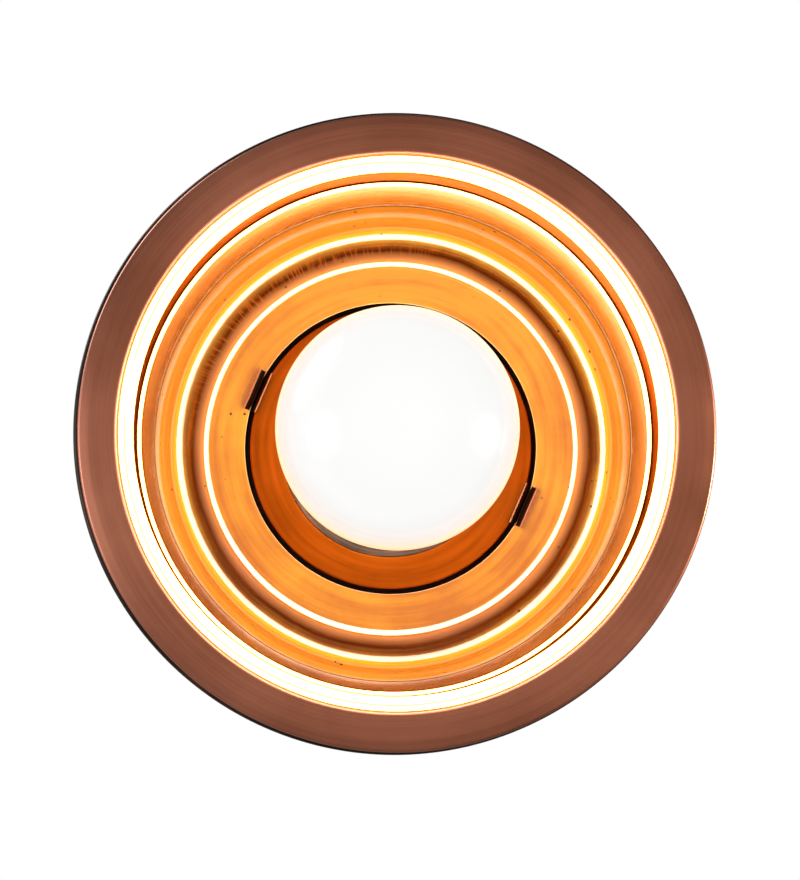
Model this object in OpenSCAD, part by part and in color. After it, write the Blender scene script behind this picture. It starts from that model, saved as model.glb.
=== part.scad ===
// Hanging copper lamp: a spun shade with a wide lip, a stepped polished reflector inside it,
// a round plate held by two push-in clips, an E27 lampholder on a hollow threaded nipple,
// and an opal globe bulb. Millimetres, +Z up. The origin is on the lamp's axis, at the foot
// of the free thread that the lamp hangs by. Profiles are drawn as [radius, height above the mouth].

/* [Mouth] */
// Radius of the clear opening inside the lip
mouth_r = 113.4; // [108:0.2:120]
// Width of the flat lip around the opening
lip_w = 16.4; // [12:0.2:18]
// Radius of the wired bead that the shade's edge is rolled into
bead_r = 2.0; // [1.6:0.1:2.2]
// Thickness of the copper sheet of the lip and shade
sheet = 1.0; // [0.8:0.1:1.2]
// How far the loosely fitted shade sits to the left of the lip's axis
shade_shift = 0.8; // [0:0.1:0.8]

/* [Reflector] */
// Thickness of the polished reflector sheet
reflector_sheet = 0.8; // [0.6:0.1:0.9]
// Width of the sloping mirror band just inside the lip
cove_w = 5.4; // [5:0.2:6]
// Height of the small step part way up the wall
wall_step_h = 32.4; // [25:0.2:35]
// Height of the lap seam between wall and dish
seam_h = 56.6; // [50:0.2:60]
// Height of the dish's flat floor
floor_h = 91.2; // [86:0.2:94]
// Radius of the wide curve from the dish's wall to its floor
corner_r = 9; // [7:0.5:10]
// Middle radius of the channel pressed into the dish
groove_r = 97.7; // [96.5:0.1:98.5]
// Depth of that channel
groove_depth = 1.85; // [1.4:0.05:2.2]
// Radius of the ridge between the channel and the floor
ridge_r = 91.3; // [90:0.1:92]
// Radius of the hole in the dish
dish_hole_r = 71.2; // [70.6:0.1:72]

/* [Plate] */
// Outer radius of the removable plate
plate_r = 68.6; // [68:0.1:69]
// Radius of the hole in the plate
plate_hole_r = 52.8; // [50:0.1:55]
// Thickness of the plate
plate_sheet = 1.0; // [0.8:0.1:1.2]
// Length of each clip along the plate's edge
clip_l = 20.5; // [16:0.5:24]
// Distance between the clip's two upright legs, over both
clip_w = 6.2; // [5.6:0.1:6.6]
// Turn of the pair of clips about the lamp's axis
clip_angle = 23.4; // [0:0.1:90]

/* [Bulb] */
// Radius of the opal globe
globe_r = 47.5; // [45:0.5:48]
// Distance of the globe's centre below the mouth
globe_drop = 14; // [8:0.5:18]
// Overall length of the bulb
bulb_l = 136; // [134:0.5:140]
// Crest radius of the bulb cap's thread
cap_r = 13.05; // [12.9:0.05:13.1]
// Pitch of the bulb cap's thread
cap_pitch = 3.63; // [3.6:0.01:3.7]

/* [Hanging thread] */
// Radius of the nipple's thread
nipple_r = 5; // [4.9:0.1:5.1]
// Length of free thread above the top nut
free_thread_l = 12; // [10:0.5:16]
// Radius of the hole for the cord through the inlet bush
inlet_r = 3.3; // [3:0.1:3.4]
// Width of the nuts across their flats
nut_flats = 14; // [13:0.5:17]

/* [Hidden] */
$fn = 96;
eps = 0.01;

// heights above the mouth
bulb_tip_h = bulb_l - globe_drop - globe_r; // tip of the bulb's contact
cap_foot_h = bulb_tip_h - 25.6;             // open edge of the bulb's metal cap
cap_top_h = bulb_tip_h - 3;
holder_mouth_h = cap_foot_h + 0.6;
insert_h = bulb_tip_h + 4;                  // lower face of the ceramic insert
holder_cap_h = insert_h + 12.5;             // joint between the holder's body and its cap
nipple_foot_h = holder_cap_h + 14;
grub_h = holder_cap_h + 20.4;
holder_hub_top_h = holder_cap_h + 23.8;
washer_t = 1.5;
earth_tag_t = 0.8;
nut_h = 5;
inner_nut_top_h = holder_hub_top_h + nut_h + 1;
inner_washer_top_h = inner_nut_top_h + earth_tag_t + washer_t;
crown_h = inner_washer_top_h + sheet;       // top face of the shade's crown
nut_top_h = crown_h + washer_t + nut_h;     // the origin's height above the mouth
nipple_top_h = nut_top_h + free_thread_l;

// fits and radii
slip = 0.1;                                 // gap between pieces that are pushed together
nipple_hole_r = nipple_r + 0.2;             // washers, earth tag and crown slip over the thread
tapped_r = nipple_r + 0.05;                 // nuts and the holder's cap screw onto it
nipple_bore_r = 3.9;
lip_r = mouth_r + lip_w;
shade_foot_r = lip_r - 5.2;                 // the shade's wall starts inside the lip's edge
bead_ring_r = lip_r - 0.6;
bead_h = bead_r + 3;
holder_r = 19.5;
holder_wall = 1.6;
holder_in_r = holder_r - holder_wall;
shell_in_r = 13.4;                          // room for the bulb's thread crests
shell_out_r = 14.2;
cap_wall = 0.5;
nut_r = nut_flats / 2 / cos(30);
clip_r = (plate_r + dish_hole_r) / 2 - 0.15; // middle of the gap that the straight clips sit in

// ---- outlines ----
function unit(v) = v / norm(v);
function turned(v) = [-v[1], v[0]];
function run_normal(p, i) = turned(unit(p[i + 1] - p[i]));
function corner_normal(p, i) =
    let (last = len(p) - 1,
         before = run_normal(p, max(i - 1, 0)),
         after = run_normal(p, min(i, last - 1)))
    (before + after) / (1 + before * after);
function shifted(p, t) = [for (i = [0 : len(p) - 1]) p[i] + t * corner_normal(p, i)];
function reversed(p) = [for (i = [len(p) - 1 : -1 : 0]) p[i]];
function arc(centre, r, from, to, steps) =
    [for (i = [0 : steps]) let (a = from + (to - from) * i / steps) centre + r * [cos(a), sin(a)]];

// Everything is drawn with the mouth at height 0 and moved so that the free thread's foot is the origin
module hung() translate([0, 0, -nut_top_h]) children();

// A sheet of the given thickness spun to a profile; positive thickness grows to the profile's left
module spun_sheet(profile, thickness)
    rotate_extrude() polygon(concat(profile, reversed(shifted(profile, thickness))));

module ring(outer_r, inner_r, from_h, to_h)
    translate([0, 0, from_h]) difference() {
        cylinder(r = outer_r, h = to_h - from_h);
        translate([0, 0, -1]) cylinder(r = inner_r, h = to_h - from_h + 2);
    }

module disc(r, from_h, to_h) translate([0, 0, from_h]) cylinder(r = r, h = to_h - from_h);

module hex_nut(from_h, height)
    difference() {
        translate([0, 0, from_h]) intersection() {
            cylinder(r = nut_r, h = height, $fn = 6);
            // the corners are chamfered as a turned nut's are
            rotate_extrude() polygon([[0, 0], [nut_flats / 2, 0], [nut_r, 0.8],
                                      [nut_r, height - 0.8], [nut_flats / 2, height], [0, height]]);
        }
        disc(tapped_r, from_h - 1, from_h + height + 1);
    }

// ---- shade ----
// From the wired bead at the mouth, up the flared wall, round the shoulder and over the crown
shoulder_r = 46;
shoulder_c = [73, crown_h - shoulder_r - 4];
shade_profile = concat(
    [[bead_ring_r - bead_r / 2, bead_h], [shade_foot_r + 0.8, bead_h + 1], [shade_foot_r, bead_h + 4]],
    arc(shoulder_c, shoulder_r, 0, 74, 8),
    [[26, crown_h], [nipple_hole_r + shade_shift, crown_h]]
);

module outer_shade() color("#2f2622") hung() translate([-shade_shift, 0, 0]) {
    spun_sheet(shade_profile, sheet);
    translate([0, 0, bead_h]) rotate_extrude()
        translate([bead_ring_r, 0]) circle(r = bead_r, $fn = 32);
}

// The lip is a crowned ring; its outer edge turns up before the bead, and a short upstand behind it
// fits inside the foot of the shade
upstand_r = shade_foot_r - sheet - shade_shift - slip;
lip_profile = [
    [mouth_r, 0.9], [mouth_r + 1.2, 0.3], [mouth_r + lip_w * 0.25, 0],
    [mouth_r + lip_w * 0.55, 0.1], [mouth_r + lip_w * 0.85, 0.7], [lip_r - 0.5, 1.5], [lip_r, 2.5]
];
module rim_ring() color("#87533e") hung() {
    spun_sheet(lip_profile, sheet);
    ring(upstand_r, upstand_r - sheet, sheet, bead_h + 5);
}

// ---- reflector ----
cove_foot_r = mouth_r - 0.3;
cove_head_r = cove_foot_r - cove_w;
flange_h = 2.7;
cove_head_h = flange_h + cove_w * 1.05;
wall_r = 111.3;
upper_wall_r = 109.0;                       // at the seam; the upper wall tapers in towards it
upper_wall_taper = 0.9;
crease_r = cove_foot_r - cove_w * 0.36;
crease_h = flange_h + cove_w * 0.34;
crease_w = 0.35;
wall_profile = [
    [mouth_r + 5.6, flange_h], [cove_foot_r, flange_h],
    [crease_r, crease_h], [crease_r - crease_w, crease_h], [cove_head_r, cove_head_h],
    [cove_head_r + 1.0, cove_head_h + 1.2], [wall_r, cove_head_h + 3.4],
    [wall_r, wall_step_h - 0.7], [upper_wall_r + upper_wall_taper, wall_step_h + 0.7],
    [upper_wall_r, seam_h]
];
module reflector_wall() color("#f0a04a") hung() spun_sheet(wall_profile, -reflector_sheet);

// The dish laps over the wall's upper edge, tapers in and curves over into a shallow channel,
// which ends in a ridge beside the flat floor
lap_l = 5;
lap_r = upper_wall_r + reflector_sheet + 0.35;
groove_h = floor_h + 0.7;
ridge_h = groove_h - groove_depth;
dish_profile = concat(
    [[lap_r, seam_h - lap_l], [lap_r, seam_h + 0.3], [upper_wall_r - 0.2, seam_h + 1.4]],
    arc([groove_r + 1.4, groove_h - corner_r], corner_r, 6, 90, 7),
    [[groove_r - 1.3, groove_h], [ridge_r + 0.6, ridge_h + 0.15], [ridge_r, ridge_h],
     [ridge_r - 0.5, ridge_h + 0.05], [ridge_r - 2.0, floor_h - 0.1], [ridge_r - 2.6, floor_h],
     [dish_hole_r, floor_h]]
);
module reflector_dish() color("#fbb04c") hung() spun_sheet(dish_profile, -reflector_sheet);

// ---- plate and clips ----
plate_face_h = floor_h - 0.8;
plate_profile = [
    [plate_r, plate_face_h + 2.2], [plate_r, plate_face_h + 0.7], [plate_r - 0.7, plate_face_h],
    [plate_hole_r + 0.6, plate_face_h], [plate_hole_r, plate_face_h + 0.6],
    [plate_hole_r, plate_face_h + 1.8]
];
module gallery_plate() color("#c8702a") hung() spun_sheet(plate_profile, -plate_sheet);

// A folded clip: two upright legs in front, shoulders over the plate and the floor, and a narrow
// waist that passes back through the gap between them
clip_sheet = 0.6;
clip_rise = 5.4;
clip_gap = 0.3;
waist_in = 0.25;
clip_front_h = plate_face_h - clip_rise;
clip_back_h = floor_h + 4.6;
clip_profile = [
    [clip_r + clip_w / 2 - clip_sheet, clip_front_h],
    [clip_r + clip_w / 2 - clip_sheet, floor_h - clip_gap - clip_sheet],
    [clip_r + waist_in, floor_h - clip_gap - clip_sheet],
    [clip_r + waist_in, clip_back_h],
    [clip_r - waist_in, clip_back_h],
    [clip_r - waist_in, plate_face_h - clip_gap - clip_sheet],
    [clip_r - clip_w / 2 + clip_sheet, plate_face_h - clip_gap - clip_sheet],
    [clip_r - clip_w / 2 + clip_sheet, clip_front_h]
];
// The clip is straight in front and its waist is short enough to stay inside the round gap
waist_l = 13;
module plate_clip(turn) color("#b06a4c") hung() rotate([0, 0, turn]) rotate([90, 0, 0])
    intersection() {
        linear_extrude(height = clip_l, center = true)
            polygon(concat(clip_profile, reversed(shifted(clip_profile, -clip_sheet))));
        union() {
            translate([clip_r - clip_w, clip_front_h - 1, -clip_l])
                cube([clip_w * 2, floor_h - clip_gap - clip_front_h + 1, clip_l * 2]);
            translate([clip_r - clip_w, clip_front_h, -waist_l / 2]) cube([clip_w * 2, 20, waist_l]);
        }
    }
module plate_clip_right() plate_clip(clip_angle);
module plate_clip_left() plate_clip(clip_angle + 180);

// ---- hanging thread and its nuts ----
// A shallow relief separates the free thread from the clamped one
relief_l = 0.6;
relief_r = nipple_r - 0.4;
module threaded_nipple() color("#b9b4a8") hung() difference() {
    union() {
        disc(nipple_r, nut_top_h, nipple_top_h);
        disc(relief_r, nut_top_h - relief_l - eps, nut_top_h + eps);
        disc(nipple_r, nipple_foot_h, nut_top_h - relief_l);
    }
    disc(nipple_bore_r, nipple_foot_h - 1, nipple_top_h + 1);
}
bush_flange_t = 1.2;
bush_l = 13;
module inlet_bush() color("#26221f") hung() difference() {
    union() {
        disc(nipple_bore_r - 0.05, nipple_top_h - bush_l, nipple_top_h);
        disc(nipple_r - 0.2, nipple_top_h, nipple_top_h + bush_flange_t);
    }
    disc(inlet_r, nipple_top_h - bush_l - 1, nipple_top_h + bush_flange_t + 1);
}
module top_nut() color("#b9b4a8") hung() hex_nut(nut_top_h - nut_h, nut_h);
washer_r = 12;
module top_washer() color("#b9b4a8") hung()
    ring(washer_r, nipple_hole_r, crown_h, crown_h + washer_t);
module inner_washer() color("#b9b4a8") hung()
    ring(washer_r, nipple_hole_r, inner_washer_top_h - washer_t, inner_washer_top_h);
// A flat ring with a tail, bored for the earth wire
tag_ring_r = 9;
tag_l = 20;
tag_end_r = 3;
tag_eye_r = 1.6;
module earth_tag() color("#c9a24a") hung()
    translate([0, 0, inner_nut_top_h]) difference() {
        union() {
            cylinder(r = tag_ring_r, h = earth_tag_t);
            translate([0, -tag_end_r, 0]) cube([tag_l, tag_end_r * 2, earth_tag_t]);
            translate([tag_l, 0, 0]) cylinder(r = tag_end_r, h = earth_tag_t);
        }
        translate([0, 0, -1]) cylinder(r = nipple_hole_r, h = earth_tag_t + 2);
        translate([tag_l, 0, -1]) cylinder(r = tag_eye_r, h = earth_tag_t + 2);
    }
module inner_nut() color("#b9b4a8") hung() hex_nut(inner_nut_top_h - nut_h, nut_h);

// ---- lampholder ----
cap_hub_r = 8.6;
cap_corner_r = 9;
grub_r = 1.5;
grub_l = 5;
grub_slot = [0.6, 0.8];                     // width and depth of the grub screw's slot
holder_cap_profile = concat(
    [[0, holder_cap_h], [holder_r, holder_cap_h]],
    arc([holder_r - cap_corner_r, holder_cap_h + 5], cap_corner_r, 0, 70, 5),
    [[cap_hub_r, holder_cap_h + 15.6], [cap_hub_r, holder_hub_top_h], [0, holder_hub_top_h]]
);
holder_cap_room = concat(
    [[0, holder_cap_h - 1], [holder_in_r, holder_cap_h - 1]],
    arc([holder_in_r - cap_corner_r, holder_cap_h + 4], cap_corner_r, 0, 70, 5),
    [[0, holder_cap_h + 13.6]]
);
module holder_cap() color("#1d1b1a") hung() difference() {
    rotate_extrude() polygon(holder_cap_profile);
    rotate_extrude() polygon(holder_cap_room);
    disc(tapped_r, holder_cap_h, holder_hub_top_h + 1);
    translate([0, 0, grub_h]) rotate([0, 90, 0]) cylinder(r = grub_r + 0.05, h = holder_r);
}
module holder_grub_screw() color("#b9b4a8") hung()
    translate([nipple_r + slip, 0, grub_h]) rotate([0, 90, 0]) difference() {
        cylinder(r = grub_r, h = grub_l);
        translate([-grub_slot[0] / 2, -grub_r - 1, grub_l - grub_slot[1]])
            cube([grub_slot[0], grub_r * 2 + 2, grub_slot[1] + 1]);
    }
// The sleeve has a web that centres the thread shell and a moulded bead round its mouth
holder_web_t = 2;
holder_bead = [0.7, 3];                     // how far the bead stands out, and its height
module holder_body() color("#1d1b1a") hung() {
    ring(holder_r, holder_in_r, holder_mouth_h, holder_cap_h);
    ring(holder_in_r + 0.5, shell_out_r + slip, holder_mouth_h, holder_mouth_h + holder_web_t);
    ring(holder_r + holder_bead[0], holder_r - 0.5, holder_mouth_h, holder_mouth_h + holder_bead[1]);
}
insert_r = holder_in_r - 0.3;
insert_top_h = holder_cap_h - 0.4;
post_x = 9;
contact_room = [9, 6.4, 5.2];
post_room = [5.2, 6.4];
post_floor = 5;                             // ceramic under the terminal posts
module holder_insert() color("#efe9dc") hung() difference() {
    disc(insert_r, insert_h, insert_top_h);
    // room for the centre contact, the side contact's foot and the two terminal posts
    translate([-contact_room[0] / 2, -contact_room[1] / 2, insert_h - 1])
        cube([contact_room[0], contact_room[1], contact_room[2]]);
    for (x = [-post_x, post_x])
        translate([x - post_room[0] / 2, -post_room[1] / 2, insert_h + post_floor])
            cube([post_room[0], post_room[1], insert_top_h - insert_h]);
}
shell_foot_r = 15.4;
module holder_thread_shell() color("#c9a24a") hung() {
    ring(shell_out_r, shell_in_r, holder_mouth_h + 0.8, insert_h - 0.2);
    // the shell's foot is turned out against the insert
    ring(shell_foot_r, shell_out_r - 0.3, insert_h - 1.0, insert_h - 0.2);
}
// The bulb's tip presses this bronze tongue; its riser stands in the insert
contact_t = 0.5;
contact_h = bulb_tip_h + 0.05;
tongue = [7.2, 4.8];
riser = [1.2, 4.0, 6.2];
module centre_contact() color("#c98a4a") hung() union() {
    translate([-tongue[0] / 2, -tongue[1] / 2, contact_h]) cube([tongue[0], tongue[1], contact_t]);
    translate([-riser[0] / 2, -riser[1] / 2, contact_h + contact_t - eps]) cube(riser);
}
side_w = 5;
side_l = 9.9;
side_foot_l = 1.9;
module side_contact() color("#c98a4a") hung() translate([-side_w / 2, shell_foot_r + slip, insert_h - slip])
    union() {
        translate([0, 0, -side_l]) cube([side_w, contact_t, side_l]);
        translate([0, 0, -contact_t]) cube([side_w, side_foot_l, contact_t]);
    }
post_h = insert_top_h - insert_h - 6;
post_foot_h = insert_h + post_floor + 0.4;
post_size = [4.4, 5.6];
clamp_h = post_h - 2.2;                     // clamp screw's height up the post
clamp_r = 1.0;
clamp_l = 2.0;
module terminal_posts() color("#c9a24a") hung() for (x = [-post_x, post_x])
    translate([x, 0, post_foot_h]) difference() {
        translate([-post_size[0] / 2, -post_size[1] / 2, 0]) cube([post_size[0], post_size[1], post_h]);
        // wire hole from above and a tapped hole for the clamp screw
        translate([0, 0, 1.5]) cylinder(r = 1.2, h = post_h);
        translate([0, -4, clamp_h]) rotate([-90, 0, 0]) cylinder(r = clamp_r + 0.05, h = 4);
    }
module terminal_screws() color("#b9b4a8") hung() for (x = [-post_x, post_x])
    translate([x, -post_size[1] / 2 - 0.3, post_foot_h + clamp_h]) rotate([-90, 0, 0]) difference() {
        cylinder(r = clamp_r, h = clamp_l);
        translate([-0.2, -clamp_r - 1, -0.4]) cube([0.4, clamp_r * 2 + 2, 0.8]);
    }

// ---- bulb ----
neck_r = 15.5;
globe_end = 63;                             // where the sphere gives way to the neck, in degrees
collar_foot_h = globe_r * sin(globe_end) - globe_drop + 4;
glass_t = 1.0;
// From the bottom pole up round the sphere, then a short neck into the collar
function globe_line(inset) = concat(
    arc([0, -globe_drop], globe_r - inset, -90, globe_end, 36),
    [[neck_r + 3.2 - inset, collar_foot_h - 2.2], [neck_r + 1.1 - inset, collar_foot_h + 1.4],
     [neck_r + 0.4 - inset, collar_foot_h + 5]]
);
module bulb_globe() color("#fffdf8") hung()
    rotate_extrude() polygon(concat(globe_line(0), reversed(globe_line(glass_t))));

spigot_r = cap_r - 1.55;
collar_in_r = 12.6;
collar_profile = [
    [neck_r + 0.7, collar_foot_h + 5.3], [neck_r + 1.6, collar_foot_h + 5.3],
    [neck_r + 1.9, collar_foot_h + 7], [neck_r + 0.6, collar_foot_h + 14],
    [cap_r + 0.4, cap_foot_h - 0.4], [spigot_r, cap_foot_h - 0.4], [spigot_r, cap_foot_h + 4],
    [spigot_r - 0.9, cap_foot_h + 4], [spigot_r - 0.9, cap_foot_h - 4], [collar_in_r, collar_foot_h + 12],
    [collar_in_r, collar_foot_h + 6.4], [neck_r + 0.7, collar_foot_h + 6.4]
];
module bulb_collar() color("#f2efe8") hung() rotate_extrude() polygon(collar_profile);

// The cap's round thread is drawn as rings of the same pitch and depth
thread_turns = 5;
thread_half_depth = 0.45;
thread_foot_h = cap_foot_h + 1.4;
cap_profile = concat(
    [[cap_r, cap_foot_h - 0.2], [cap_r, cap_foot_h + 0.6]],
    [for (i = [0 : thread_turns * 4])
        [cap_r + thread_half_depth * (cos(i * 90 + 180) - 1), thread_foot_h + i * cap_pitch / 4]],
    [[cap_r - 2.4, cap_top_h - 0.6], [cap_r - 4.0, cap_top_h]]
);
module bulb_cap() color("#b8b6b0") hung() spun_sheet(cap_profile, cap_wall);
module bulb_cap_insulator() color("#17161a") hung() rotate_extrude()
    polygon([[3.2, cap_top_h - 1.6], [cap_r - 4.6, cap_top_h - 1.6], [cap_r - 4.6, cap_top_h + 0.2],
             [5.2, cap_top_h + 1.8], [3.2, cap_top_h + 1.8]]);
module bulb_tip_contact() color("#c9c4b8") hung() rotate_extrude()
    polygon(concat([[0, cap_top_h - 1.4], [3.1, cap_top_h - 1.4], [3.1, cap_top_h + 1.9],
                    [4.4, cap_top_h + 1.9]],
                   [[4.2, bulb_tip_h - 0.5], [3.0, bulb_tip_h], [0, bulb_tip_h]]));

board_h = collar_foot_h + 6.6;
board_t = 1.2;
module bulb_led_board() color("#f4f4f0") hung() ring(collar_in_r - 0.4, 2, board_h, board_h + board_t);
led_count = 10;
led_size = [2.8, 3.5, 0.9];
led_ring_r = 8.6;
module bulb_led_chips() color("#f3d33c") hung() for (i = [0 : led_count - 1])
    rotate([0, 0, i * 360 / led_count])
        translate([led_ring_r, 0, board_h - 0.5]) cube(led_size, center = true);
driver_foot_h = board_h + board_t + 0.4;
driver_l = cap_top_h - 4 - driver_foot_h;
driver_w = 17;
module bulb_driver_board() color("#3d7a4a") hung()
    translate([-driver_w / 2, -board_t / 2, driver_foot_h]) cube([driver_w, board_t, driver_l]);
// A capacitor can, a transformer and the input resistor on one face of the driver board
module bulb_driver_parts() color("#33343a") hung() {
    translate([-3, 4.3, driver_foot_h + 14]) cylinder(r = 3.4, h = 11);
    translate([0, 0.7, driver_foot_h + 4]) cube([7.4, 6, 8]);
    translate([-7.4, 0.7, driver_foot_h + 5]) cube([3, 3, 8]);
}

outer_shade();
rim_ring();
reflector_wall();
reflector_dish();
gallery_plate();
plate_clip_left();
plate_clip_right();
threaded_nipple();
inlet_bush();
top_nut();
top_washer();
inner_washer();
earth_tag();
inner_nut();
holder_cap();
holder_grub_screw();
holder_body();
holder_insert();
holder_thread_shell();
centre_contact();
side_contact();
terminal_posts();
terminal_screws();
bulb_globe();
bulb_collar();
bulb_cap();
bulb_cap_insulator();
bulb_tip_contact();
bulb_led_board();
bulb_led_chips();
bulb_driver_board();
bulb_driver_parts();
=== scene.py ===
"""Looks of a hanging copper lamp: spun copper shade and reflector, folded clips, opal globe bulb, lampholder and
hanging thread, in metres and in the part's own frame."""

import math

import bmesh
import bpy
from mathutils import Matrix, Vector


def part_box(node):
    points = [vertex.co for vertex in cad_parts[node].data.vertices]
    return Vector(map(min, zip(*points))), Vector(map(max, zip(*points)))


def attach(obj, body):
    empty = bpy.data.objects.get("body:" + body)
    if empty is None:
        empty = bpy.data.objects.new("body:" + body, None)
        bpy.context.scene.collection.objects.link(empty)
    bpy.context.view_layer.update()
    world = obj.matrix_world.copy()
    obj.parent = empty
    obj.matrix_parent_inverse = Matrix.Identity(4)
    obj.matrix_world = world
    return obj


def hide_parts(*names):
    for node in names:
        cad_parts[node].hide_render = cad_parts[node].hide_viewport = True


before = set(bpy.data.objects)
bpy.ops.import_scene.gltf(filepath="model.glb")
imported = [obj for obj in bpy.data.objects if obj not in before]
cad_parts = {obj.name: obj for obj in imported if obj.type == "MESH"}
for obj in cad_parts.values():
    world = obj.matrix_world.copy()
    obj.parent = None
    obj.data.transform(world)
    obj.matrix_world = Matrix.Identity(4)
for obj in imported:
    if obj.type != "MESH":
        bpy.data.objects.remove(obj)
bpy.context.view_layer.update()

MM = 0.001
MOUTH_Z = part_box("rim_ring")[0].z  # the lip's lowest face is height 0 in every profile below
SEGMENTS = 256  # round a large spun piece


# ---------------------------------------------------------------------------------------------------------------------
# Materials
# ---------------------------------------------------------------------------------------------------------------------

NOISE_SPAN = {"From Min": 0.3, "From Max": 0.7}  # where a noise texture's values mostly lie
MASK_SPAN = 60.0  # mm above the mouth that by_height covers
SPECK = "#4a2410"


def srgb(code):
    """A #rrggbb colour as linear RGBA."""
    values = [int(code[i : i + 2], 16) / 255 for i in (1, 3, 5)]
    return (*[v / 12.92 if v <= 0.04045 else ((v + 0.055) / 1.055) ** 2.4 for v in values], 1.0)


def grey(level):
    return (level, level, level, 1.0)


def every(spacing):
    """A pattern's scale, in repeats per metre, for details a spacing in mm apart."""
    return 1 / (spacing * MM)


def feed(tree, node, inputs):
    """Fills a node's inputs, by name or number, with values, outputs, or nodes whose first output is meant."""
    for socket, value in inputs.items():
        if isinstance(value, bpy.types.Node):
            value = value.outputs[0]
        if isinstance(value, bpy.types.NodeSocket):
            tree.links.new(value, node.inputs[socket])
        else:
            node.inputs[socket].default_value = value


def add(tree, kind, inputs=None, stops=(), **settings):
    """Adds a node with its settings and links; stops are a colour ramp's (position, colour) pairs."""
    made = tree.nodes.new(kind)
    for name, value in settings.items():
        setattr(made, name, value)
    feed(tree, made, inputs or {})
    if stops:
        elements = made.color_ramp.elements
        while len(elements) < len(stops):
            elements.new(0.5)
        for element, (position, colour) in zip(elements, stops):
            element.position, element.color = position, colour
    return made


def material(name):
    """An empty material, its tree and its shader."""
    made = bpy.data.materials.new(name)
    made.use_nodes = True
    return made, made.node_tree, made.node_tree.nodes["Principled BSDF"]


def turned_coordinates(tree, across, along):
    """Coordinates that run with a lathe's tool: across is the scale over the turned rings, along the one round them.
    Returns them, the distance from the axis and the plain place."""
    place = add(tree, "ShaderNodeTexCoord").outputs["Object"]
    split = add(tree, "ShaderNodeSeparateXYZ", {0: place})
    flat = add(tree, "ShaderNodeVectorMath", {0: place, 1: (1, 1, 0)}, operation="MULTIPLY")
    radius = add(tree, "ShaderNodeVectorMath", {0: flat}, operation="LENGTH").outputs["Value"]
    heading = add(tree, "ShaderNodeVectorMath", {0: flat}, operation="NORMALIZE")
    slow = add(tree, "ShaderNodeVectorMath", {0: heading, 1: (along, along, 0)}, operation="MULTIPLY")
    step = add(tree, "ShaderNodeMath", {0: radius, 1: split.outputs["Z"]}, operation="SUBTRACT")
    fine = add(tree, "ShaderNodeMath", {0: step, 1: across}, operation="MULTIPLY")
    lift = add(tree, "ShaderNodeCombineXYZ", {2: fine})
    both = add(tree, "ShaderNodeVectorMath", {0: slow, 1: lift}, operation="ADD")
    return both.outputs[0], radius, place


def by_height(tree, place, stops):
    """A grey value from (height above the mouth in mm, value) stops."""
    split = add(tree, "ShaderNodeSeparateXYZ", {0: place})
    span = {"From Min": MOUTH_Z, "From Max": MOUTH_Z + MASK_SPAN * MM}
    share = add(tree, "ShaderNodeMapRange", {"Value": split.outputs["Z"], **span})
    return add(tree, "ShaderNodeValToRGB", {0: share}, [(height / MASK_SPAN, grey(value)) for height, value in stops])


def specked(tree, place, cloud, colour, spacing, spot, patch):
    """The colour with small dark specks, a spacing in mm apart, where the cloudy pattern is high."""
    cells = add(tree, "ShaderNodeTexVoronoi", {"Vector": place, "Scale": every(spacing), "Randomness": 1.0})
    spots = add(tree, "ShaderNodeValToRGB", {0: cells}, [(spot[0], grey(1)), (spot[1], grey(0))])
    patches = add(tree, "ShaderNodeValToRGB", {0: cloud}, [(patch[0], grey(0)), (patch[1], grey(1))])
    marks = add(tree, "ShaderNodeMath", {0: spots, 1: patches}, operation="MULTIPLY")
    return add(tree, "ShaderNodeMix", {0: marks, 6: colour, 7: srgb(SPECK)}, data_type="RGBA").outputs[2]


def spun_copper(name, clean, warm, dull, shine, wear, ring_bump):
    """Copper sheet spun on a lathe, which gives the eye fine turned rings, cloudy tarnish and small dark specks. The
    rings are about 0.2 mm apart on real spinnings and are drawn 0.4 mm apart, so that they show."""
    made, tree, shader = material(name)
    turned, _, place = turned_coordinates(tree, every(0.4), 1.6)
    rings = add(tree, "ShaderNodeTexNoise", {"Vector": turned, "Scale": 1.0, "Detail": 3.0, "Roughness": 0.7})
    broad, _, _ = turned_coordinates(tree, every(3.846), 1.1)
    bands = add(tree, "ShaderNodeTexNoise", {"Vector": broad, "Scale": 1.0, "Detail": 2.0})
    cloud = add(
        tree, "ShaderNodeTexNoise", {"Vector": place, "Scale": every(41.67), "Detail": 5.0, "Roughness": 0.6}
    )
    tone = add(tree, "ShaderNodeMix", {0: 0.45, 2: bands, 3: cloud}, data_type="FLOAT")
    colour = add(tree, "ShaderNodeValToRGB", {0: tone}, [(0.30, srgb(dull)), (0.47, srgb(warm)), (0.62, srgb(clean))])
    marked = specked(tree, place, cloud, colour, 6.25, (0.07, 0.12), (0.54, 0.60))
    rough = add(tree, "ShaderNodeMapRange", {"Value": rings, **NOISE_SPAN, "To Min": shine[0], "To Max": shine[1]})
    clouds = {"Value": cloud, "From Min": 0.35, "From Max": 0.65}
    cloudy = add(tree, "ShaderNodeMapRange", {**clouds, "To Min": -wear, "To Max": wear})
    roughness = add(tree, "ShaderNodeMath", {0: rough, 1: cloudy}, operation="ADD")
    height = add(tree, "ShaderNodeMix", {0: 0.5, 2: rings, 3: bands}, data_type="FLOAT")
    bump = add(tree, "ShaderNodeBump", {"Strength": ring_bump, "Distance": 0.05 * MM, "Height": height})
    feed(tree, shader, {"Base Color": marked, "Roughness": roughness, "Normal": bump, "Metallic": 1.0})
    return made, tree, shader, place, marked, roughness


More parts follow.
